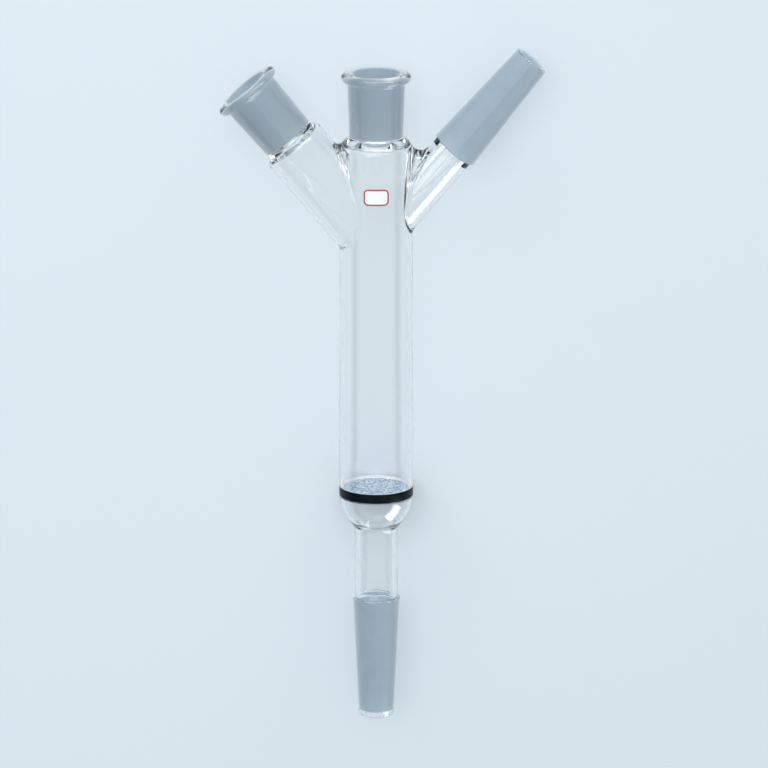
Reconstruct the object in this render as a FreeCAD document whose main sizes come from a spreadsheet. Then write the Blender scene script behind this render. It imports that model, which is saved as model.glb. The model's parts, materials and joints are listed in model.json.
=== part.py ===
import FreeCAD, Part
import math
import os
import Sketcher

# A vacuum filtration tube of blown borosilicate glass, in millimetres.
# The pieces are drawn with the tube's axis along Y, the tip of the lower joint at Y = 0 and both
# side arms in the XY plane. At the end they are laid down together on the bench, which is Z = 0,
# with the side that faces the user upwards.

TURN = 360
NEAR = 0.01

# Driving dimensions, each with what it is.
SIZES = [
    # main tube
    ("tube_outer_d", 22.0),
    ("tube_wall", 1.2),
    ("arm_crossing", 150.0),
    ("wide_rise", 0.25),
    ("wide_top", 97.7),
    ("wide_taper", 22.0),
    # sintered disc and its seal
    ("disc_base", 70.1),
    ("disc_thickness", 2.5),
    ("seal_round", 0.4),
    ("band_rise", 0.4),
    ("band_height", 2.8),
    ("band_depth", 0.6),
    # narrow neck below the bulb
    ("neck_outer_d", 13.3),
    ("neck_wall", 1.65),
    ("crease_round", 2.5),
    ("inner_crease_round", 1.5),
    # standard taper shared by all four joints, in diameter over length
    ("joint_d", 14.5),
    ("joint_taper", 0.1),
    # male cones
    ("cone_ground", 35.0),
    ("lower_tip", 2.1),
    ("lower_lip", 0.7),
    ("right_tip", 0.5),
    ("right_lip", 0.3),
    ("cone_step", 0.5),
    ("cone_wall", 1.6),
    ("cone_throat", 2.6),
    ("tip_round", 0.6),
    ("lip_round", 0.3),
    # female sockets
    ("socket_ground", 20.0),
    ("socket_wall", 1.4),
    ("socket_base_d", 16.2),
    ("throat_d", 9.0),
    ("throat_length", 1.0),
    ("throat_round", 0.3),
    ("rim_outer_d", 21.0),
    ("rim_bead", 1.35),
    ("rim_round", 0.6),
    ("mouth_round", 0.5),
    # middle socket on the tube's shoulder
    ("middle_rim", 200.0),
    ("middle_depth", 18.2),
    ("middle_dome", 4.5),
    ("middle_ceiling", 2.3),
    ("middle_corner", 1.6),
    ("middle_flare", 1.0),
    # side arms
    ("arm_angle", 40.0),
    ("left_outer_d", 19.6),
    ("left_wall", 1.2),
    ("left_length", 59.9),
    ("left_depth", 20.4),
    ("left_dome", 1.8),
    ("left_ceiling", 1.2),
    ("left_corner", 0.6),
    ("left_flare", 0.6),
    ("right_outer_d", 12.9),
    ("right_wall", 1.45),
    ("right_length", 72.4),
    ("left_crotch_round", 1.5),
    ("right_crotch_round", 3.2),
    ("inner_crotch_round", 0.6),
    # write-on spot
    ("spot_height", 165.7),
    ("spot_width", 7.6),
    ("spot_length", 5.0),
    ("spot_corner", 1.4),
    ("spot_thickness", 0.12),
]

doc = FreeCAD.newDocument("vacuum_filtration_tube")
sheet = doc.addObject("Spreadsheet::Sheet", "Sizes")
for row, (alias, value) in enumerate(SIZES, start=1):
    sheet.set("A%d" % row, alias)
    sheet.set("B%d" % row, str(value))
    sheet.setAlias("B%d" % row, alias)
doc.recompute()


def named(expression):
    """An expression on size names, written so that it reads them from the sheet."""
    words = sorted((alias for alias, value in SIZES), key=len, reverse=True)
    text = expression
    for number, word in enumerate(words):
        text = text.replace(word, "<%d>" % number)
    for number, word in enumerate(words):
        text = text.replace("<%d>" % number, "Sizes." + word)
    return text


def size(expression):
    """The value of an expression on size names."""
    return float(sheet.evalExpression(named(expression)))


def new_body(label):
    body = doc.addObject("PartDesign::Body", label)
    body.Label = label
    return body


def origin_plane(body, role):
    return next(feature for feature in body.Origin.OriginFeatures if feature.Role == role)


class Corner:
    """A corner of an outline: its radius and its place along the axis.

    fixed says which of the two its expressions set: where an arc starts or ends, the arc
    gives the other one.
    """

    def __init__(self, radius, along, fixed="both"):
        self.radius = radius
        self.along = along
        self.fixed = fixed

    def point(self):
        return FreeCAD.Vector(size(self.along), size(self.radius), 0)


class Arc:
    """Between two corners: an arc about a centre, which bulges away from the axis."""

    def __init__(self, radius, along):
        self.radius = radius
        self.along = along

    def centre(self):
        return FreeCAD.Vector(size(self.along), size(self.radius), 0)


def bind(sketch, kind, element, point, expression):
    index = sketch.addConstraint(
        Sketcher.Constraint(kind, -1, 1, element, point, size(expression)))
    sketch.setExpression("Constraints[%d]" % index, named(expression))


def draw_outline(body, name, steps, angle=None, height=None):
    """A closed sketch through the corners, with the arcs that stand between them.

    It lies in the upright plane through the axis, so that no seam runs into a side arm.
    """
    sketch = body.newObject("Sketcher::SketchObject", name)
    sketch.AttachmentSupport = [(origin_plane(body, "YZ_Plane"), "")]
    sketch.MapMode = "FlatFace"
    if angle:
        leaning = FreeCAD.Rotation(FreeCAD.Vector(0, 1, 0), size(angle))
        sketch.AttachmentOffset = FreeCAD.Placement(FreeCAD.Vector(size(height), 0, 0), leaning)
        sketch.setExpression("AttachmentOffset.Rotation.Angle", named(angle))
        sketch.setExpression("AttachmentOffset.Base.x", named(height))
    corners = [step for step in steps if isinstance(step, Corner)]
    arc_after = {}
    for before, step in zip(steps, steps[1:]):
        if isinstance(step, Arc):
            arc_after[corners.index(before)] = step
    ends = []
    for index, corner in enumerate(corners):
        start = corner.point()
        end = corners[(index + 1) % len(corners)].point()
        arc = arc_after.get(index)
        if arc is None:
            sketch.addGeometry(Part.LineSegment(start, end))
            ends.append((1, 2))
            continue
        centre = arc.centre()
        circle = Part.Circle(centre, FreeCAD.Vector(0, 0, 1), (start - centre).Length)
        first_angle = math.atan2(end.y - centre.y, end.x - centre.x)
        last_angle = math.atan2(start.y - centre.y, start.x - centre.x)
        if last_angle < first_angle:
            last_angle += 2 * math.pi
        sketch.addGeometry(Part.ArcOfCircle(circle, first_angle, last_angle))
        ends.append((2, 1))
        bind(sketch, "DistanceX", index, 3, arc.along)
        bind(sketch, "DistanceY", index, 3, arc.radius)
    for index, corner in enumerate(corners):
        after = (index + 1) % len(corners)
        sketch.addConstraint(
            Sketcher.Constraint("Coincident", index, ends[index][1], after, ends[after][0]))
        if corner.fixed in ("both", "along"):
            bind(sketch, "DistanceX", index, ends[index][0], corner.along)
        if corner.fixed in ("both", "radius"):
            bind(sketch, "DistanceY", index, ends[index][0], corner.radius)
    return sketch


def turn_outline(body, kind, name, steps, lean=(None, None), sweep=None):
    """Turn an outline about its axis, all the way round unless a sweep is given.

    lean is the angle of a side arm and the height at which it leaves the tube's axis.
    """
    sketch = draw_outline(body, name + "_outline", steps, *lean)
    before = body.Shape.Volume if body.Tip else 0
    feature = body.newObject(kind, name)
    feature.Profile = sketch
    feature.ReferenceAxis = (sketch, ["H_Axis"])
    feature.Angle = TURN
    if sweep:
        feature.Midplane = True
        feature.setExpression("Angle", named(sweep))
    doc.recompute()
    grew = feature.Shape.Volume - before
    if (grew > 0) != (kind == "PartDesign::Revolution"):
        raise RuntimeError("%s changed the volume the wrong way" % name)
    return feature


def add_round(body, name, edges, radius):
    fillet = body.newObject("PartDesign::Fillet", name)
    fillet.Base = (fillet.BaseFeature, edges)
    fillet.setExpression("Radius", named(radius))
    doc.recompute()
    return fillet


def leaning(lean):
    """The placement of an axis that leans by an angle from a height on the tube's axis."""
    angle, height = lean
    if not angle:
        return FreeCAD.Placement()
    turn = FreeCAD.Rotation(FreeCAD.Vector(0, 0, 1), size(angle))
    return FreeCAD.Placement(FreeCAD.Vector(0, size(height), 0), turn)


def round_rings(body, name, rings, radius, lean=(None, None)):
    """Round the circular edges that have a given radius at a given place along an axis."""
    place = leaning(lean)
    edges = []
    for ring, along in rings:
        centre = place.multVec(FreeCAD.Vector(0, size(along), 0))
        found = [
            "Edge%d" % number
            for number, edge in enumerate(body.Shape.Edges, start=1)
            if edge.Curve.TypeId == "Part::GeomCircle"
            and (edge.Curve.Center - centre).Length < NEAR
            and abs(edge.Curve.Radius - size(ring)) < NEAR
        ]
        if not found:
            raise RuntimeError("%s: no round edge at %s, %s" % (name, ring, along))
        edges += found
    return add_round(body, name, edges, radius)


def round_crotch(body, name, arm_radius, radius, lean):
    """Round the curve along which a side arm of the given radius runs into the tube."""
    place = leaning(lean).inverse()
    edges = []
    for number, edge in enumerate(body.Shape.Edges, start=1):
        points = [place.multVec(point) for point in edge.discretize(9)]
        off = [abs(math.hypot(point.x, point.z) - size(arm_radius)) for point in points]
        along = [point.y for point in points]
        is_line = edge.Curve.TypeId == "Part::GeomLine"
        if max(off) < NEAR and max(along) - min(along) > NEAR and min(along) > 0 and not is_line:
            edges.append("Edge%d" % number)
    if not edges:
        raise RuntimeError("%s: no edge where the arm meets the tube" % name)
    return add_round(body, name, edges, radius)


TUBE_R = "(tube_outer_d / 2)"
BORE_R = "(tube_outer_d / 2 - tube_wall)"
WIDE_R = "(tube_outer_d / 2 + wide_rise)"
WIDE_BORE_R = "(tube_outer_d / 2 + wide_rise - tube_wall)"
NECK_R = "neck_outer_d / 2"
NECK_BORE_R = "(neck_outer_d / 2 - neck_wall)"
LEFT_R = "(left_outer_d / 2)"
LEFT_BORE_R = "(left_outer_d / 2 - left_wall)"
RIGHT_R = "right_outer_d / 2"
RIGHT_BORE_R = "(right_outer_d / 2 - right_wall)"
JOINT_R = "joint_d / 2"
SOCKET_WALL_R = "(joint_d / 2 + socket_wall)"
SOCKET_BASE_R = "(socket_base_d / 2)"
THROAT_R = "throat_d / 2"
BEAD_R = "(rim_outer_d / 2 - rim_bead)"
BEAD_REACH = "sqrt(rim_bead ^ 2 - (%s - %s) ^ 2)" % (BEAD_R, SOCKET_WALL_R)
DISC_TOP = "(disc_base + disc_thickness)"
BULB_CENTRE = "(disc_base - seal_round)"
LEFT_LEAN = ("arm_angle", "arm_crossing")
RIGHT_LEAN = ("-arm_angle", "arm_crossing")


def sphere_reach(sphere_r, ring_r):
    """How far below its centre a sphere has narrowed to the given radius."""
    return "sqrt((%s) ^ 2 - (%s) ^ 2)" % (sphere_r, ring_r)


# A female socket that closes a tube with a domed shoulder. rim is the place of its bead along
# the axis, depth how far below it the shoulder begins, and dome the radius of its curve.
def dome_base(rim, depth, tube_r, dome):
    drop = "sqrt(%s ^ 2 - (%s - %s + %s) ^ 2)" % (dome, SOCKET_BASE_R, tube_r, dome)
    return "(%s - %s - %s)" % (rim, depth, drop)


def socket_outside(rim, depth, tube_r, dome):
    base = dome_base(rim, depth, tube_r, dome)
    return [
        Corner(tube_r, base),
        Arc("%s - %s" % (tube_r, dome), base),
        Corner(SOCKET_BASE_R, "%s - %s" % (rim, depth), "radius"),
        Corner(SOCKET_WALL_R, "%s - %s" % (rim, BEAD_REACH), "radius"),
        Arc(BEAD_R, rim),
        Corner(BEAD_R, "%s + rim_bead" % rim),
        Corner("0", "%s + rim_bead" % rim),
    ]


def ceiling_place(rim, depth, ceiling):
    """Where the tube's bore ends below the socket, which is how far below its shoulder."""
    return "(%s - %s - %s)" % (rim, depth, ceiling)


def throat_top(rim):
    return "(%s + rim_bead - socket_ground - throat_length)" % rim


def socket_inside(rim, under, bore_r, corner):
    """The bore from the ceiling under the socket, whose corner is round, up to the rim."""
    top = "%s + rim_bead" % rim
    return [
        Corner(bore_r, "%s - %s" % (under, corner)),
        Arc("%s - %s" % (bore_r, corner), "%s - %s" % (under, corner)),
        Corner("%s - %s" % (bore_r, corner), under, "radius"),
        Corner(THROAT_R, under),
        Corner(THROAT_R, throat_top(rim)),
        Corner(JOINT_R + " - joint_taper * socket_ground / 2", "%s - socket_ground" % top),
        Corner(JOINT_R, top),
        Corner("0", top),
    ]


def round_socket(body, name, rim, depth, flare, lean=(None, None)):
    round_rings(
        body, name + "_flare", [(SOCKET_BASE_R, "%s - %s" % (rim, depth))], flare, lean)
    round_rings(
        body, name + "_rim_round",
        [(SOCKET_WALL_R, "%s - %s" % (rim, BEAD_REACH))], "rim_round", lean)


def round_socket_bore(body, name, rim, under, lean=(None, None)):
    round_rings(
        body, name + "_mouth_round", [(JOINT_R, "%s + rim_bead" % rim)], "mouth_round", lean)
    round_rings(
        body, name + "_throat_round",
        [(THROAT_R, under), (THROAT_R, throat_top(rim))], "throat_round", lean)


# A male cone is the lower or the right one, which have clear ends of their own. tip is the
# place of its end along the axis, and way the sign of the way from there into the tube.
def tip_r(cone):
    return "(joint_d / 2 - joint_taper * (cone_ground + %s_tip) / 2)" % cone


def lip_r(cone):
    return "(joint_d / 2 + joint_taper * %s_lip / 2)" % cone


def cone_long(cone):
    return "(%s_tip + cone_ground + %s_lip)" % (cone, cone)


def cone_outside(cone, tip, way, tube_r):
    return [
        Corner(tip_r(cone), tip),
        Corner(lip_r(cone), "%s %s %s" % (tip, way, cone_long(cone))),
        Corner(tube_r, "%s %s (%s + cone_step)" % (tip, way, cone_long(cone))),
    ]


def cone_inside(cone, tip, way, bore_r):
    return [
        Corner("0", tip),
        Corner(tip_r(cone) + " - cone_wall", tip),
        Corner(JOINT_R + " - cone_wall", "%s %s (%s_tip + cone_ground)" % (tip, way, cone)),
        Corner(bore_r, "%s %s (%s_tip + cone_ground + cone_throat)" % (tip, way, cone)),
    ]


def round_cone(body, cone, tip, way, lean=(None, None)):
    round_rings(body, cone + "_tip_round", [(tip_r(cone), tip)], "tip_round", lean)
    round_rings(
        body, cone + "_lip_round",
        [(lip_r(cone), "%s %s %s" % (tip, way, cone_long(cone)))], "lip_round", lean)


def taper(wide_r, straight_r):
    """The tube is a little wider where the disc is sealed in, and narrows above it."""
    return [Corner(wide_r, "wide_top"), Corner(straight_r, "wide_top + wide_taper")]


def make_glass_body():
    """The blown body: tube, bulb, neck, arms and all four joints in one piece of glass."""
    glass = new_body("glass_body")
    crease = "%s - %s" % (BULB_CENTRE, sphere_reach(WIDE_R, NECK_R))
    outside = [Corner("0", "0")] + cone_outside("lower", "0", "+", NECK_R)
    outside += [
        Corner(NECK_R, crease, "radius"),
        Arc("0", BULB_CENTRE),
        Corner(WIDE_R, BULB_CENTRE),
    ]
    outside += taper(WIDE_R, TUBE_R)
    outside += socket_outside("middle_rim", "middle_depth", TUBE_R, "middle_dome")
    turn_outline(glass, "PartDesign::Revolution", "tube", outside)
    round_cone(glass, "lower", "0", "+")
    round_rings(glass, "crease_rounding", [(NECK_R, crease)], "crease_round")
    round_socket(glass, "middle", "middle_rim", "middle_depth", "middle_flare")

    left = [Corner("0", "0"), Corner(LEFT_R, "0")]
    left += socket_outside("left_length", "left_depth", LEFT_R, "left_dome")
    turn_outline(glass, "PartDesign::Revolution", "left_arm", left, LEFT_LEAN)
    round_socket(glass, "left", "left_length", "left_depth", "left_flare", LEFT_LEAN)

    right = [Corner("0", "0"), Corner(RIGHT_R, "0")]
    right += list(reversed(cone_outside("right", "right_length", "-", RIGHT_R)))
    right += [Corner("0", "right_length")]
    turn_outline(glass, "PartDesign::Revolution", "right_arm", right, RIGHT_LEAN)
    round_cone(glass, "right", "right_length", "-", RIGHT_LEAN)

    round_crotch(glass, "left_crotch", LEFT_R, "left_crotch_round", LEFT_LEAN)
    round_crotch(glass, "right_crotch", RIGHT_R, "right_crotch_round", RIGHT_LEAN)

    inner_crease = "%s - %s" % (BULB_CENTRE, sphere_reach(WIDE_BORE_R, NECK_BORE_R))
    bore = cone_inside("lower", "0", "+", NECK_BORE_R)
    bore += [
        Corner(NECK_BORE_R, inner_crease, "radius"),
        Arc("0", BULB_CENTRE),
        Corner(WIDE_BORE_R, BULB_CENTRE),
        Arc(WIDE_BORE_R + " - seal_round", BULB_CENTRE),
        Corner(WIDE_BORE_R + " - seal_round", "disc_base", "radius"),
        Corner(WIDE_BORE_R, "disc_base"),
        Corner(WIDE_BORE_R, DISC_TOP),
        Corner(WIDE_BORE_R + " - seal_round", DISC_TOP),
        Arc(WIDE_BORE_R + " - seal_round", DISC_TOP + " + seal_round"),
        Corner(WIDE_BORE_R, DISC_TOP + " + seal_round", "along"),
    ]
    bore += taper(WIDE_BORE_R, BORE_R)
    middle_under = ceiling_place("middle_rim", "middle_depth", "middle_ceiling")
    bore += socket_inside("middle_rim", middle_under, BORE_R, "middle_corner")
    turn_outline(glass, "PartDesign::Groove", "tube_bore", bore)
    round_rings(
        glass, "inner_crease_rounding", [(NECK_BORE_R, inner_crease)], "inner_crease_round")

    left_under = ceiling_place("left_length", "left_depth", "left_ceiling")
    left_bore = [Corner("0", "0"), Corner(LEFT_BORE_R, "0")]
    left_bore += socket_inside("left_length", left_under, LEFT_BORE_R, "left_corner")
    turn_outline(glass, "PartDesign::Groove", "left_bore", left_bore, LEFT_LEAN)

    right_bore = [Corner("0", "0"), Corner(RIGHT_BORE_R, "0")]
    right_bore += list(reversed(cone_inside("right", "right_length", "-", RIGHT_BORE_R)))
    turn_outline(glass, "PartDesign::Groove", "right_bore", right_bore, RIGHT_LEAN)

    round_crotch(glass, "left_inner_crotch", LEFT_BORE_R, "inner_crotch_round", LEFT_LEAN)
    round_crotch(glass, "right_inner_crotch", RIGHT_BORE_R, "inner_crotch_round", RIGHT_LEAN)
    round_socket_bore(glass, "middle", "middle_rim", middle_under)
    round_socket_bore(glass, "left", "left_length", left_under, LEFT_LEAN)

    turn_outline(
        glass, "PartDesign::Groove", "band_seat",
        band_outline(WIDE_R + " + band_depth"))
    return glass


def band_outline(outer_r):
    base = "disc_base + band_rise"
    return [
        Corner(WIDE_R + " - band_depth", base),
        Corner(outer_r, base),
        Corner(outer_r, base + " + band_height"),
        Corner(WIDE_R + " - band_depth", base + " + band_height"),
    ]


def make_fritted_disc():
    """The sintered glass disc, which fills the bore between the two seals."""
    disc = new_body("fritted_disc")
    turn_outline(disc, "PartDesign::Revolution", "disc", [
        Corner("0", "disc_base"),
        Corner(WIDE_BORE_R, "disc_base"),
        Corner(WIDE_BORE_R, DISC_TOP),
        Corner("0", DISC_TOP),
    ])
    return disc


def make_frit_band():
    """The dark ring let into the wall round the disc."""
    band = new_body("frit_band")
    turn_outline(band, "PartDesign::Revolution", "band", band_outline(WIDE_R))
    return band


def make_write_on_spot():
    """A small enamel patch on the front of the tube, between the arms, to write on."""
    spot = new_body("write_on_spot")
    base = "spot_height - spot_length / 2"
    outer_r = TUBE_R + " + spot_thickness"
    patch = turn_outline(spot, "PartDesign::Revolution", "patch", [
        Corner(TUBE_R, base),
        Corner(outer_r, base),
        Corner(outer_r, base + " + spot_length"),
        Corner(TUBE_R, base + " + spot_length"),
    ], sweep="spot_width / tube_outer_d * 360 / pi")
    corners = [
        "Edge%d" % number
        for number, edge in enumerate(patch.Shape.Edges, start=1)
        if edge.Curve.TypeId == "Part::GeomLine"
        and abs(edge.Length - size("spot_thickness")) < NEAR
    ]
    add_round(spot, "patch_corners", corners, "spot_corner")
    return spot


pieces = [make_glass_body(), make_fritted_disc(), make_frit_band(), make_write_on_spot()]

# Lay the part down: the tube rests on the bench, and the middle of its footprint is the origin.
footprint = pieces[0].Shape.optimalBoundingBox(False)
rest = FreeCAD.Vector(
    -(footprint.XMin + footprint.XMax) / 2,
    -(footprint.YMin + footprint.YMax) / 2,
    size(WIDE_R))
for piece in pieces:
    piece.Placement = FreeCAD.Placement(rest, FreeCAD.Rotation())
doc.recompute()

for item in doc.Objects:
    if "Invalid" in item.State or "Error" in item.State:
        raise RuntimeError("%s failed: %s" % (item.Label, item.State))
for piece in pieces:
    if piece.Shape.isNull() or not piece.Shape.isValid():
        raise RuntimeError("%s has no valid shape" % piece.Label)

os.makedirs("parts", exist_ok=True)
for piece in pieces:
    piece.Shape.exportStep("parts/%s.step" % piece.Label)
    box = piece.Shape.BoundBox
    print(piece.Label, "solids", len(piece.Shape.Solids), "volume", round(piece.Shape.Volume, 1),
          "box", [round(value, 3) for value in (
              box.XMin, box.YMin, box.ZMin, box.XMax, box.YMax, box.ZMax)])
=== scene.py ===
from collections import namedtuple
import json
import math

import bmesh
import bpy
from bpy.props import FloatProperty, FloatVectorProperty, IntProperty, PointerProperty
from bpy.types import Operator, Panel, PropertyGroup
from mathutils import Matrix, Vector, noise


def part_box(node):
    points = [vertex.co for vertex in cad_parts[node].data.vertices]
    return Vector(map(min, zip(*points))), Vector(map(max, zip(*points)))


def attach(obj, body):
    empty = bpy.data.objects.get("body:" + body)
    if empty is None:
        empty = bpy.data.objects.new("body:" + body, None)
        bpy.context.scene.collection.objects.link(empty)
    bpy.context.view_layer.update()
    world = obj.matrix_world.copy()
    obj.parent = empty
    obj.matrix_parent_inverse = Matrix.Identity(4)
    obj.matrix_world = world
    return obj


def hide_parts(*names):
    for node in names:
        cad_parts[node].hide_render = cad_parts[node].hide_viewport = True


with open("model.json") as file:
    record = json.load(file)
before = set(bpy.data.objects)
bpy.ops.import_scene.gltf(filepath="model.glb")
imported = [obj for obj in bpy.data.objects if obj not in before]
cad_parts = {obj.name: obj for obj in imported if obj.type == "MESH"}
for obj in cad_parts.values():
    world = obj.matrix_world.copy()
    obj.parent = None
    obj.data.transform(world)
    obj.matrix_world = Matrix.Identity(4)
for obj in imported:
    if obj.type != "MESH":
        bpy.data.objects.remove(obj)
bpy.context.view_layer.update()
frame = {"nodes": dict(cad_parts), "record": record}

bl_info = {
    "name": "Vacuum filtration tube",
    "version": (1, 0, 0),
    "blender": (4, 5, 0),
    "location": "3D View > Sidebar > Filter tube",
    "description": "Dresses the packed glass filter tube and sets up its studio",
    "category": "Object",
}

MM = 0.001
# Corners closer than this are doubles of one corner.
DOUBLES = 0.001 * MM
# Radii and heights closer than this are the same one.
NEAR = 0.01 * MM
BODY = "root"

# Where things are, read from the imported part: every joint's mount names the middle of its
# ground zone and the way out of it.
MOUNTS = {mount["name"]: mount for mount in frame["record"]["mounts"]}
DISC_LOW, DISC_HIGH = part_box("fritted_disc")
BAND_LOW, BAND_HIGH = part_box("frit_band")
SPOT_LOW, SPOT_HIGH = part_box("write_on_spot")
AXIS_X = (DISC_LOW.x + DISC_HIGH.x) / 2
AXIS_Z = (DISC_LOW.z + DISC_HIGH.z) / 2

# How deep the disc's rim and the spot's back are bedded in the glass, so that no gap shows.
BEDDED = 0.02 * MM
# How far the disc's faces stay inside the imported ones, which the grains never pass.
FACE_SUNK = 0.01 * MM
# How deep the groove is that the ring fills, whose outer face is painted dark.
BAND_DEPTH = 0.6 * MM
SPOT_THICKNESS = 0.12 * MM

# How finely the round pieces are cut.
DISC_RINGS = 56
DISC_STEPS = 200
BAND_STEPS = 160
EDGE_STEPS = 4
CORNER_STEPS = 8
# The share of the disc's radius within which its faces are rough.
ROUGH_SHARE = 0.985
# How soon a grain's flank falls away from its middle.
GRAIN_FALL = 1.3

# By how much a joint's ground radius changes per unit of length, and the radius half way through
# a socket's wall, which changes less because the outside is straighter.
TAPER = 0.05
SOCKET_GROWTH = 0.04
# A ground zone: the mount at its middle, where along the joint's axis it starts and ends, the
# radius half way through the glass at its middle, by how much that radius grows towards the
# joint's end, and whether the ground face is the outer one.
GroundZone = namedtuple("GroundZone", "mount start end radius growth outside")
GROUND_ZONES = [
    GroundZone("lower_cone", start=-17.9 * MM, end=17.5 * MM, radius=5.55 * MM,
               growth=-TAPER, outside=True),
    GroundZone("right_cone", start=-17.7 * MM, end=17.5 * MM, radius=5.55 * MM,
               growth=-TAPER, outside=True),
    GroundZone("middle_socket", start=-10.0 * MM, end=10.0 * MM, radius=7.55 * MM,
               growth=SOCKET_GROWTH, outside=False),
    GroundZone("left_socket", start=-10.0 * MM, end=10.0 * MM, radius=7.55 * MM,
               growth=SOCKET_GROWTH, outside=False),
]
# How softly a zone starts and ends.
ZONE_EDGE = 0.12 * MM
# A cone's zone ends here, off its axis, because other glass may stand beside it.
ZONE_REACH = 8.5 * MM
# The share of the passing light that ground glass holds back.
GROUND_SHADOW = 0.3

# The surroundings: a low wall all round, a higher one except beyond the sockets, and a bright
# window there. Tops and sills are sines of the height over the horizon, and ends and sides are
# cosines of the angle from the sockets' way. Each edge is soft, from its first value to its second.
LOW_WALL_TOP = (0.1, 0.14)
HIGH_WALL_TOP = (0.36, 0.42)
HIGH_WALL_END = (0.2, 0.5)
WINDOW_SILL = (0.14, 0.18)
WINDOW_TOP = (0.35, 0.55)
WINDOW_SIDE = (0.5, 0.75)
WALL_COLOUR = (0.004, 0.007, 0.009, 1)
SKY_COLOUR = (0.94, 0.98, 1, 1)
WINDOW_COLOUR = (3.4, 3.45, 3.5, 1)

# The floor reaches this far from the middle, in metres.
FLOOR_REACH = 12
# The photograph's side in pixels, and where in it the point lies that the camera looks at.
PHOTO_SIDE = 768
PHOTO_AIM_X = 376.2
PHOTO_AIM_Y = 395


class Value:
    """An output socket, so that shader maths reads as an expression."""

    def __init__(self, shader, socket):
        self.shader = shader
        self.socket = socket

    def maths(self, operation, other):
        return self.shader.node(
            "ShaderNodeMath", {"operation": operation}, {0: self, 1: other})

    def __add__(self, other):
        return self.maths("ADD", other)

    def __sub__(self, other):
        return self.maths("SUBTRACT", other)

    def __mul__(self, other):
        return self.maths("MULTIPLY", other)

    def __rsub__(self, other):
        return self.shader.node(
            "ShaderNodeMath", {"operation": "SUBTRACT"}, {0: other, 1: self})

    __radd__ = __add__
    __rmul__ = __mul__

    def largest(self, other):
        return self.maths("MAXIMUM", other)

    def step(self, low, high):
        """0 up to low, 1 from high, and smooth between them."""
        return self.shader.node(
            "ShaderNodeMapRange", {"interpolation_type": "SMOOTHSTEP"},
            {"Value": self, "From Min": low, "From Max": high})

    def vector(self, operation, *others, output=0):
        return self.shader.node(
            "ShaderNodeVectorMath", {"operation": operation},
            dict(enumerate((self,) + others)), output)


class Shader:
    """The nodes of a material, or of the world where one is given."""

    def __init__(self, name, world=None):
        self.owner = world or bpy.data.materials.new(name)
        self.output = "ShaderNodeOutputWorld" if world else "ShaderNodeOutputMaterial"
        self.owner.use_nodes = True
        self.tree = self.owner.node_tree
        self.tree.nodes.clear()

    def node(self, kind, settings=None, sockets=None, output=0):
        """A node with its settings, then the values or links of its sockets."""
        made = self.tree.nodes.new(kind)
        for setting, value in (settings or {}).items():
            setattr(made, setting, value)
        for place, value in (sockets or {}).items():
            if isinstance(value, Value):
                self.tree.links.new(value.socket, made.inputs[place])
            else:
                made.inputs[place].default_value = value
        return Value(self, made.outputs[output])

    def place(self):
        return self.node("ShaderNodeTexCoord", output="Object")

    def noise(self, where, per_metre, detail):
        return self.node(
            "ShaderNodeTexNoise", None,
            {"Vector": where, "Scale": per_metre, "Detail": detail})

    def rings(self, along, per_metre, detail):
        """Noise that changes along one way only, as rings round a joint do."""
        return self.node(
            "ShaderNodeTexNoise", {"noise_dimensions": "1D"},
            {"W": along, "Scale": per_metre, "Detail": detail})

    def grains(self, where, size, output):
        """Grains of one size: a random Color for each, or the Distance to its middle."""
        return self.node(
            "ShaderNodeTexVoronoi", {"feature": "F1"},
            {"Vector": where, "Scale": 1 / size}, output)

    def mix_colours(self, share, first, second):
        # A Mix node has a set of sockets for each kind of data: 6 and 7 are the colours.
        return self.node(
            "ShaderNodeMix", {"data_type": "RGBA"}, {0: share, 6: first, 7: second}, 2)

    def mix_surfaces(self, share, first, second):
        return self.node("ShaderNodeMixShader", None, {0: share, 1: first, 2: second})

    def bump(self, height, depth):
        return self.node("ShaderNodeBump", None, {"Height": height, "Distance": depth})

    def surface(self, sockets):
        return self.node("ShaderNodeBsdfPrincipled", None, sockets)

    def light_passes(self, surface, tint, share):
        """The surface for what looks at it, and a clear tint for the light that passes it, so
        that its shadow is soft and has no caustics."""
        passing = self.node("ShaderNodeLightPath", output="Is Shadow Ray").largest(
            self.node("ShaderNodeLightPath", output="Is Diffuse Ray"))
        clear = self.node("ShaderNodeBsdfTransparent", None, {"Color": tint})
        return self.mix_surfaces(passing * share, surface, clear)

    def finish(self, surface):
        output = self.tree.nodes.new(self.output)
        self.tree.links.new(surface.socket, output.inputs["Surface"])
        return self.owner


def linear(red, green, blue):
    """The scene's colour for a colour written as it looks on screen, each part 0 to 255, by the
    numbers of the sRGB curve."""
    def part(value):
        value /= 255
        return value / 12.92 if value <= 0.04045 else ((value + 0.055) / 1.055) ** 2.4
    return (part(red), part(green), part(blue), 1.0)


def toned(colour, factor):
    """The colour made lighter or darker, and never lighter than white."""
    return tuple(min(1, part * factor) for part in colour[:3]) + (1,)


def colour_setting(name, description, default):
    return FloatVectorProperty(
        name=name, description=description, default=default,
        subtype="COLOR", size=4, min=0, max=1)


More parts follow.
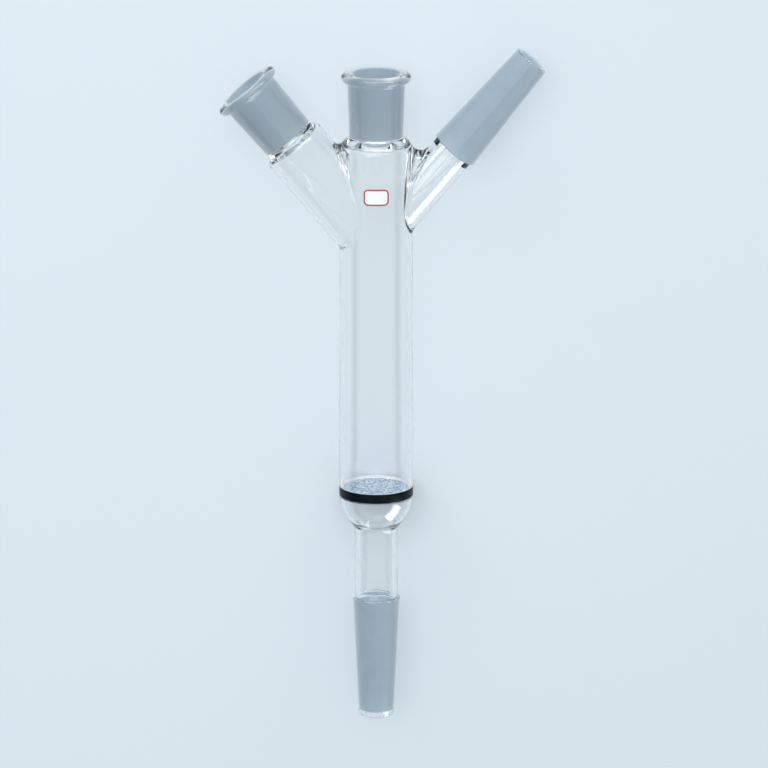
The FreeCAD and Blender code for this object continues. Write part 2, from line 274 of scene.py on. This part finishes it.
class GlassSettings(PropertyGroup):
    tint: colour_setting(
        "Glass tint", "What the clear glass leaves of the light", (0.975, 0.978, 0.978, 1))
    ground_tint: colour_setting(
        "Ground tint", "Colour of the ground zones of the joints", linear(153, 172, 187))
    # Inside the sockets the ground tint is darkened by this factor: painted shade.
    painted_socket_shade: FloatProperty(
        name="Socket shade", description="How light the ground glass stays inside the sockets",
        default=0.82, min=0, max=1, subtype="FACTOR")
    shadow_tint: colour_setting(
        "Shadow tint", "What each face of the glass leaves of the light that passes it",
        (0.99, 0.992, 0.993, 1))
    refraction: FloatProperty(
        name="Refraction", description="Index of refraction of the glass",
        default=1.474, min=1.3, max=1.8)
    ground_roughness: FloatProperty(
        name="Ground roughness", description="Roughness of the ground zones",
        default=0.6, min=0, max=1, subtype="FACTOR")
    waviness: FloatProperty(
        name="Waviness", description="Height of the slow waves in the blown glass",
        default=0.03 * MM, min=0, unit="LENGTH")


class DiscSettings(PropertyGroup):
    light: colour_setting("Light grains", "Colour of the palest grains", linear(230, 238, 242))
    dark: colour_setting("Dark grains", "Colour of the darkest grains", linear(104, 131, 165))
    grain: FloatProperty(
        name="Grain", description="Size of the sintered grains",
        default=0.4 * MM, min=0.05 * MM, unit="LENGTH")
    relief: FloatProperty(
        name="Relief", description="Height of the grains over the pits between them",
        default=0.07 * MM, min=0, unit="LENGTH")


class BandSettings(PropertyGroup):
    # The outer face is painted near black: painted shade for the dark that the fused seal shows from
    # outside.
    colour: colour_setting("Band colour", "Colour of the dark ring", linear(5, 15, 17))
    fused_light: colour_setting(
        "Fused light", "Palest colour where the ring is fused to the disc", linear(238, 243, 247))
    fused_dark: colour_setting(
        "Fused dark", "Darkest colour where the ring is fused to the disc", linear(196, 208, 220))
    seat: FloatProperty(
        name="Seat", description="How far the ring is fused into the glass round it",
        default=0.03 * MM, min=0, unit="LENGTH")
    edge: FloatProperty(
        name="Edge", description="Radius of the ring's outer edges",
        default=0.18 * MM, min=0, unit="LENGTH")


class SpotSettings(PropertyGroup):
    enamel: colour_setting("Enamel", "Colour of the spot to write on", linear(246, 248, 248))
    border_colour: colour_setting("Border colour", "Colour of the thin border", linear(204, 48, 46))
    border: FloatProperty(
        name="Border", description="Width of the border line",
        default=0.45 * MM, min=0, unit="LENGTH")
    corner: FloatProperty(
        name="Corner", description="Radius of the spot's corners",
        default=1.4 * MM, min=0, unit="LENGTH")
    columns: IntProperty(
        name="Columns", description="Strips that the spot is cut into to follow the tube",
        default=24, min=4)


class StageSettings(PropertyGroup):
    floor: colour_setting("Floor", "Colour of the floor", linear(218, 228, 235))
    tilt: FloatProperty(
        name="Tilt", description="How far the camera leans from straight above, towards the sockets",
        default=math.radians(15.5), subtype="ANGLE")
    distance: FloatProperty(
        name="Distance", description="From the camera to the tube's axis",
        default=1.85, min=0.1, unit="LENGTH")
    lens: FloatProperty(
        name="Lens", description="Focal length in millimetres",
        default=286.2, min=1, unit="CAMERA")
    aim: FloatProperty(
        name="Aim", description="Where along Y the camera looks",
        default=-2.777 * MM, unit="LENGTH")
    key_power: FloatProperty(
        name="Key power", description="Power of the large soft lamp",
        default=6.3, min=0, unit="POWER")
    window_power: FloatProperty(
        name="Window power", description="Power of the lamp that glints on the bulb",
        default=9.0, min=0, unit="POWER")
    rim_power: FloatProperty(
        name="Rim power", description="Power of the lamp that glints on the rims of the sockets",
        default=14.0, min=0, unit="POWER")
    surroundings: FloatProperty(
        name="Surroundings", description="Strength of the light from all round",
        default=0.7, min=0)


def along_and_across(shader, where, mount):
    """How far along a joint's axis a point lies, from the mount, and how far off the axis."""
    axis = Vector(mount["axis"]).normalized()
    offset = where.vector("SUBTRACT", tuple(mount["pos_m"]))
    along = offset.vector("DOT_PRODUCT", tuple(axis), output="Value")
    on_axis = shader.node(
        "ShaderNodeVectorMath", {"operation": "SCALE"}, {0: tuple(axis), "Scale": along})
    across = offset.vector("SUBTRACT", on_axis).vector("LENGTH", output="Value")
    return along, across


def ground_zones(shader, where):
    """Where the glass is ground, where that is inside a socket and takes painted shade, and how far
    along the joint.
    """
    ground = 0
    in_socket = 0
    lengthwise = 0
    for zone in GROUND_ZONES:
        along, across = along_and_across(shader, where, MOUNTS[zone.mount])
        outer = (across - along * zone.growth - zone.radius).step(-ZONE_EDGE, ZONE_EDGE)
        if zone.outside:
            here = outer * (1 - across.step(ZONE_REACH - ZONE_EDGE, ZONE_REACH + ZONE_EDGE))
        else:
            here = 1 - outer
        here = here * along.step(zone.start - ZONE_EDGE, zone.start + ZONE_EDGE)
        here = here * (1 - along.step(zone.end - ZONE_EDGE, zone.end + ZONE_EDGE))
        ground = here.largest(ground)
        lengthwise = here * along + lengthwise
        if not zone.outside:
            in_socket = here + in_socket
    return ground, in_socket, lengthwise


def clear_glass(shader, where, settings):
    """Fire-polished glass, with the slow waves that blowing leaves."""
    waves = shader.noise(where, per_metre=55, detail=1.5)
    return shader.surface({
        "Base Color": tuple(settings.tint),
        "Roughness": 0.0,
        "IOR": settings.refraction,
        "Transmission Weight": 1.0,
        "Normal": shader.bump(waves, settings.waviness),
    })


def ground_glass(shader, where, in_socket, lengthwise, settings):
    """Matt glass. Grinding leaves fine rings round the joint, broken up by the grit. Inside the
    sockets its colour is darker: painted shade.
    """
    rings = shader.rings(lengthwise, per_metre=2600, detail=3.0)
    grit = shader.noise(where, per_metre=5200, detail=2.0)
    streaks = shader.noise(where, per_metre=240, detail=3.0)
    tone = (rings * 0.2 + grit * 0.4 + streaks * 0.4).step(0.3, 0.7)
    tint = settings.ground_tint
    outside = shader.mix_colours(tone, toned(tint, 0.94), toned(tint, 1.08))
    return shader.surface({
        # Inside the sockets the colour is darkened: painted shade.
        "Base Color": shader.mix_colours(
            in_socket, outside, toned(tint, settings.painted_socket_shade)),
        "Roughness": settings.ground_roughness + (tone - 0.5) * 0.12,
        "IOR": settings.refraction,
        "Transmission Weight": 0.3,
        "Sheen Weight": 1.0,
        "Sheen Roughness": 0.45,
        "Normal": shader.bump(rings * 0.25 + grit * 0.75, 0.008 * MM),
    })


def blown_glass(settings):
    """Clear glass, ground where the joints seat."""
    shader = Shader("blown_glass")
    where = shader.place()
    ground, in_socket, lengthwise = ground_zones(shader, where)
    glass = shader.mix_surfaces(
        ground, clear_glass(shader, where, settings),
        ground_glass(shader, where, in_socket, lengthwise, settings))
    return shader.finish(shader.light_passes(
        glass, tuple(settings.shadow_tint), 1 - ground * GROUND_SHADOW))


def sintered_grains(settings):
    """Porous glass: each grain has a tone of its own, and they cluster."""
    shader = Shader("sintered_grains")
    where = shader.place()
    chance = shader.grains(where, settings.grain, "Color")
    lightness = chance.vector("DOT_PRODUCT", (0.4, 0.3, 0.3), output="Value")
    off_middle = shader.grains(where, settings.grain, "Distance")
    clusters = shader.noise(where, per_metre=0.45 / settings.grain, detail=3.0)
    # The tone falls towards the pits between the grains: painted shade.
    tone = (lightness * 0.9 + clusters * 0.55 - off_middle * 0.3).step(0.44, 0.82)
    return shader.finish(shader.surface({
        "Base Color": shader.mix_colours(tone, tuple(settings.dark), tuple(settings.light)),
        "Roughness": 0.42 + lightness * 0.3,
        "IOR": 1.47,
        "Subsurface Weight": 0.25,
        "Subsurface Radius": (1.0, 1.0, 1.0),
        "Subsurface Scale": 0.5 * MM,
        "Normal": shader.bump(1 - off_middle, 0.08 * MM),
    }))


def seal_painted_dark(settings):
    """Near-black outer face of the fused ring: painted shade, clouded a little lighter here and
    there.
    """
    shader = Shader("seal_painted_dark")
    where = shader.place()
    cloud = shader.noise(where, per_metre=420, detail=3.0)
    ripple = shader.noise(where, per_metre=260, detail=2.0)
    return shader.finish(shader.surface({
        # Near black on the outer face: painted shade.
        "Base Color": shader.mix_colours(
            cloud.step(0.35, 0.75), tuple(settings.colour), toned(settings.colour, 1.9)),
        "Roughness": 0.26 + cloud * 0.14,
        "Specular IOR Level": 0.08,
        "Normal": shader.bump(ripple, 0.03 * MM),
    }))


def fused_grains(settings):
    """Where the ring is fused to the disc and the wall it is as pale as they are."""
    shader = Shader("fused_grains")
    grains = shader.noise(shader.place(), per_metre=1800, detail=3.0)
    return shader.finish(shader.surface({
        "Base Color": shader.mix_colours(
            grains.step(0.35, 0.65), tuple(settings.fused_dark), tuple(settings.fused_light)),
        "Roughness": 0.5 + grains * 0.2,
        "Normal": shader.bump(grains, 0.04 * MM),
    }))


def matt_enamel(name, colour):
    """Fired enamel with a faint mottle."""
    shader = Shader(name)
    mottle = shader.noise(shader.place(), per_metre=3200, detail=2.0)
    return shader.finish(shader.surface({
        "Base Color": shader.mix_colours(
            mottle.step(0.3, 0.6), toned(colour, 0.93), tuple(colour)),
        "Roughness": 0.6 + mottle * 0.2,
        "Specular IOR Level": 0.3,
        "Normal": shader.bump(mottle, 0.006 * MM),
    }))


def floor_paper(settings):
    """One pale, matt colour for camera, glass and shadow alike."""
    shader = Shader("floor_paper")
    return shader.finish(shader.surface({
        "Base Color": tuple(settings.floor),
        "Roughness": 0.9,
        "Specular IOR Level": 0.1,
    }))


def studio_surroundings(settings):
    """A pale sky over a dark wall, with a bright window beyond the sockets."""
    sky = Shader("studio", bpy.data.worlds.new("studio"))
    way = sky.node("ShaderNodeTexCoord", output="Generated")
    height = way.vector("DOT_PRODUCT", (0, 0, 1), output="Value")
    to_sockets = way.vector("DOT_PRODUCT", (0, 1, 0), output="Value")
    wall = (1 - height.step(*HIGH_WALL_TOP)) * (1 - to_sockets.step(*HIGH_WALL_END))
    wall = wall.largest(1 - height.step(*LOW_WALL_TOP))
    window = to_sockets.step(*WINDOW_SIDE) * (1 - height.step(*WINDOW_TOP))
    window = window * height.step(*WINDOW_SILL)
    colour = sky.mix_colours(wall, SKY_COLOUR, WALL_COLOUR)
    colour = sky.mix_colours(window, colour, WINDOW_COLOUR)
    return sky.finish(sky.node("ShaderNodeBackground", None, {
        "Color": colour,
        "Strength": settings.surroundings,
    }))


def off_axis(point):
    """How far a point lies from the tube's axis."""
    return math.hypot(point.x - AXIS_X, point.z - AXIS_Z)


def spun_profile(points, steps):
    """A solid of revolution about the tube's axis, from (radius, height along Y) points."""
    turned = bmesh.new()
    corners = [turned.verts.new((AXIS_X + radius, along, AXIS_Z)) for radius, along in points]
    for first, second in zip(corners, corners[1:]):
        turned.edges.new((first, second))
    bmesh.ops.spin(
        turned, geom=turned.verts[:] + turned.edges[:], cent=(AXIS_X, 0, AXIS_Z),
        axis=(0, 1, 0), angle=math.tau, steps=steps, use_merge=True)
    bmesh.ops.remove_doubles(turned, verts=turned.verts[:], dist=DOUBLES)
    bmesh.ops.recalc_face_normals(turned, faces=turned.faces[:])
    return turned


def disc_shape(settings):
    """A disc bedded in the tube's wall, with grains standing up from both faces."""
    radius = (DISC_HIGH.x - DISC_LOW.x) / 2 + BEDDED
    low, high = DISC_LOW.y + FACE_SUNK, DISC_HIGH.y - FACE_SUNK
    across = [radius * ring / DISC_RINGS for ring in range(DISC_RINGS + 1)]
    profile = [(reach, high) for reach in across]
    profile += [(reach, low) for reach in reversed(across)]
    disc = spun_profile(profile, DISC_STEPS)
    for corner in disc.verts:
        if off_axis(corner.co) > radius * ROUGH_SHARE:
            continue
        off_middle = noise.voronoi(corner.co / settings.grain)[0][0]
        sunk = min(1, off_middle * GRAIN_FALL) * settings.relief
        corner.co.y += -sunk if corner.co.y > (low + high) / 2 else sunk
    return disc


def band_shape(settings):
    """A ring with rounded outer edges. Its second material is on every side but the outer one."""
    outer = (BAND_HIGH.x - BAND_LOW.x) / 2
    inner = outer - BAND_DEPTH - settings.seat
    low, high = BAND_LOW.y - settings.seat, BAND_HIGH.y + settings.seat
    band = spun_profile(
        [(inner, low), (outer, low), (outer, high), (inner, high), (inner, low)], BAND_STEPS)
    rims = [
        edge for edge in band.edges
        if all(off_axis(corner.co) > outer - NEAR for corner in edge.verts)
        and abs(edge.verts[0].co.y - edge.verts[1].co.y) < NEAR
    ]
    bmesh.ops.bevel(
        band, geom=rims, offset=settings.edge, offset_type="OFFSET", affect="EDGES",
        segments=EDGE_STEPS, profile=0.5, material=-1)
    for face in band.faces:
        fused = off_axis(face.calc_center_median()) <= outer - settings.edge
        face.material_index = 1 if fused else 0
    return band


def spot_shape(settings):
    """A spot with round corners, laid round the tube. Its second material is on the border."""
    outer = SPOT_HIGH.z - AXIS_Z
    half_width = math.asin((SPOT_HIGH.x - SPOT_LOW.x) / 2 / outer) * outer
    half_length = (SPOT_HIGH.y - SPOT_LOW.y) / 2
    middle = (SPOT_LOW.y + SPOT_HIGH.y) / 2
    thickness = SPOT_THICKNESS + BEDDED

    spot = bmesh.new()
    bmesh.ops.create_grid(
        spot, x_segments=1, y_segments=1, size=1,
        matrix=Matrix.Diagonal((half_width, half_length, 1, 1)))
    bmesh.ops.bevel(
        spot, geom=spot.verts[:], offset=settings.corner, offset_type="OFFSET",
        affect="VERTICES", segments=CORNER_STEPS, profile=0.5, material=-1)
    border = bmesh.ops.inset_region(
        spot, faces=spot.faces[:], thickness=settings.border,
        use_boundary=True, use_even_offset=True)
    for face in border["faces"]:
        face.material_index = 1
    for column in range(1, settings.columns):
        cut = half_width * (2 * column / settings.columns - 1)
        bmesh.ops.bisect_plane(
            spot, geom=spot.verts[:] + spot.edges[:] + spot.faces[:],
            plane_co=(cut, 0, 0), plane_no=(1, 0, 0))
    bmesh.ops.recalc_face_normals(spot, faces=spot.faces[:])
    lifted = bmesh.ops.extrude_face_region(spot, geom=spot.faces[:])
    for corner in lifted["geom"]:
        if isinstance(corner, bmesh.types.BMVert):
            corner.co.z += thickness
    for corner in spot.verts:
        angle = corner.co.x / outer
        reach = outer - thickness + corner.co.z
        corner.co = Vector((
            AXIS_X + reach * math.sin(angle), middle + corner.co.y,
            AXIS_Z + reach * math.cos(angle)))
    bmesh.ops.recalc_face_normals(spot, faces=spot.faces[:])
    return spot


def in_scene(name, data):
    """A new object in the scene, at the origin."""
    made = bpy.data.objects.new(name, data)
    bpy.context.scene.collection.objects.link(made)
    return made


def finished_mesh(name, shape):
    """The shape's mesh. The shape itself is used up."""
    mesh = bpy.data.meshes.new(name)
    shape.to_mesh(mesh)
    shape.free()
    return mesh


def show(shape, name, node):
    """A finished piece that stands for a CAD node: it rides on the body, and the node is hidden."""
    piece = in_scene(name, finished_mesh(name, shape))
    for polygon in piece.data.polygons:
        polygon.use_smooth = True
    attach(piece, BODY)
    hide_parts(node)
    return piece


class FILTERTUBE_OT_glass_body(Operator):
    """Give the blown body its clear and ground glass"""

    bl_idname = "filter_tube.glass_body"
    bl_label = "Glass body"

    def execute(self, context):
        glass = blown_glass(context.scene.filter_tube_glass)
        for slot in frame["nodes"]["glass_body"].material_slots:
            slot.material = glass
        return {"FINISHED"}


class FILTERTUBE_OT_fritted_disc(Operator):
    """Make the disc of sintered glass grains"""

    bl_idname = "filter_tube.fritted_disc"
    bl_label = "Fritted disc"

    def execute(self, context):
        settings = context.scene.filter_tube_disc
        piece = show(disc_shape(settings), "sintered_disc", "fritted_disc")
        piece.data.materials.append(sintered_grains(settings))
        return {"FINISHED"}


class FILTERTUBE_OT_frit_band(Operator):
    """Make the ring fused into the wall round the disc, its outer face painted dark"""

    bl_idname = "filter_tube.frit_band"
    bl_label = "Frit band"

    def execute(self, context):
        settings = context.scene.filter_tube_band
        piece = show(band_shape(settings), "dark_seal_ring", "frit_band")
        piece.data.materials.append(seal_painted_dark(settings))
        piece.data.materials.append(fused_grains(settings))
        return {"FINISHED"}


class FILTERTUBE_OT_write_on_spot(Operator):
    """Make the enamel spot that a user writes on"""

    bl_idname = "filter_tube.write_on_spot"
    bl_label = "Write-on spot"

    def execute(self, context):
        settings = context.scene.filter_tube_spot
        piece = show(spot_shape(settings), "write_on_patch", "write_on_spot")
        piece.data.materials.append(matt_enamel("white_enamel", settings.enamel))
        piece.data.materials.append(matt_enamel("border_enamel", settings.border_colour))
        return {"FINISHED"}


class FILTERTUBE_OT_stage(Operator):
    """Set up the floor, the soft lamps, the surroundings and the camera"""

    bl_idname = "filter_tube.stage"
    bl_label = "Stage"

    def execute(self, context):
        settings = context.scene.filter_tube_stage
        target = Vector((AXIS_X, settings.aim, AXIS_Z))
        self.make_floor(settings)
        context.scene.world = studio_surroundings(settings)
        self.make_lamp(
            "key", target, settings.key_power,
            way=(-0.2, 0.5, 1.0), distance=1.15, size=(1.1, 0.8))
        rim_glint = self.make_lamp(
            "rim_glint", target, settings.rim_power,
            way=(0.1, 0.86, 0.5), distance=1.2, size=(1.9, 0.3))
        window = self.make_lamp(
            "window", target, settings.window_power,
            way=(0.685, -0.675, 0.276), distance=1.1, size=(0.76, 0.53))
        for lamp in (rim_glint, window):
            lamp.visible_diffuse = False
        context.scene.camera = self.make_camera(target, settings)
        context.scene.view_settings.view_transform = "Standard"
        return {"FINISHED"}

    def make_floor(self, settings):
        sheet = bmesh.new()
        bmesh.ops.create_grid(sheet, x_segments=1, y_segments=1, size=FLOOR_REACH)
        floor = in_scene("floor", finished_mesh("floor", sheet))
        floor.data.materials.append(floor_paper(settings))

    def make_lamp(self, name, target, power, way, distance, size):
        """A flat lamp that faces the target, this way and this many metres from it."""
        lamp = bpy.data.lights.new(name, "AREA")
        lamp.shape = "RECTANGLE"
        lamp.size, lamp.size_y = size
        lamp.energy = power
        holder = in_scene(name, lamp)
        direction = Vector(way).normalized()
        holder.location = target + direction * distance
        holder.rotation_euler = direction.to_track_quat("Z", "Y").to_euler()
        return holder

    def make_camera(self, target, settings):
        """A camera above the tube, whose frame is shifted as the photograph's is."""
        camera = bpy.data.cameras.new("camera")
        camera.lens = settings.lens
        camera.sensor_width = 36
        camera.shift_x = (PHOTO_SIDE / 2 - PHOTO_AIM_X) / PHOTO_SIDE
        camera.shift_y = (PHOTO_AIM_Y - PHOTO_SIDE / 2) / PHOTO_SIDE
        camera.clip_start = 0.1
        camera.clip_end = 50
        holder = in_scene("camera", camera)
        back = Vector((0, math.sin(settings.tilt), math.cos(settings.tilt)))
        up = Vector((0, math.cos(settings.tilt), -math.sin(settings.tilt)))
        turned = Matrix((up.cross(back), up, back)).transposed().to_4x4()
        holder.matrix_world = Matrix.Translation(target + back * settings.distance) @ turned
        return holder


# Each step of the work: where the scene keeps its settings, their group and its operator.
Step = namedtuple("Step", "place group operator")
STEPS = [
    Step("filter_tube_glass", GlassSettings, FILTERTUBE_OT_glass_body),
    Step("filter_tube_disc", DiscSettings, FILTERTUBE_OT_fritted_disc),
    Step("filter_tube_band", BandSettings, FILTERTUBE_OT_frit_band),
    Step("filter_tube_spot", SpotSettings, FILTERTUBE_OT_write_on_spot),
    Step("filter_tube_stage", StageSettings, FILTERTUBE_OT_stage),
]


class FILTERTUBE_PT_panel(Panel):
    """The steps that dress the tube, and their settings"""

    bl_label = "Filter tube"
    bl_idname = "FILTERTUBE_PT_panel"
    bl_space_type = "VIEW_3D"
    bl_region_type = "UI"
    bl_category = "Filter tube"

    def draw(self, context):
        for step in STEPS:
            box = self.layout.box()
            settings = getattr(context.scene, step.place)
            for setting in step.group.__annotations__:
                box.prop(settings, setting)
            box.operator(step.operator.bl_idname)


def register():
    for step in STEPS:
        bpy.utils.register_class(step.group)
        setattr(bpy.types.Scene, step.place, PointerProperty(type=step.group))
        bpy.utils.register_class(step.operator)
    bpy.utils.register_class(FILTERTUBE_PT_panel)


def unregister():
    bpy.utils.unregister_class(FILTERTUBE_PT_panel)
    for step in reversed(STEPS):
        bpy.utils.unregister_class(step.operator)
        delattr(bpy.types.Scene, step.place)
        bpy.utils.unregister_class(step.group)


def main():
    register()
    bpy.ops.filter_tube.glass_body()
    bpy.ops.filter_tube.fritted_disc()
    bpy.ops.filter_tube.frit_band()
    bpy.ops.filter_tube.write_on_spot()
    bpy.ops.filter_tube.stage()


if __name__ == "__main__":
    main()
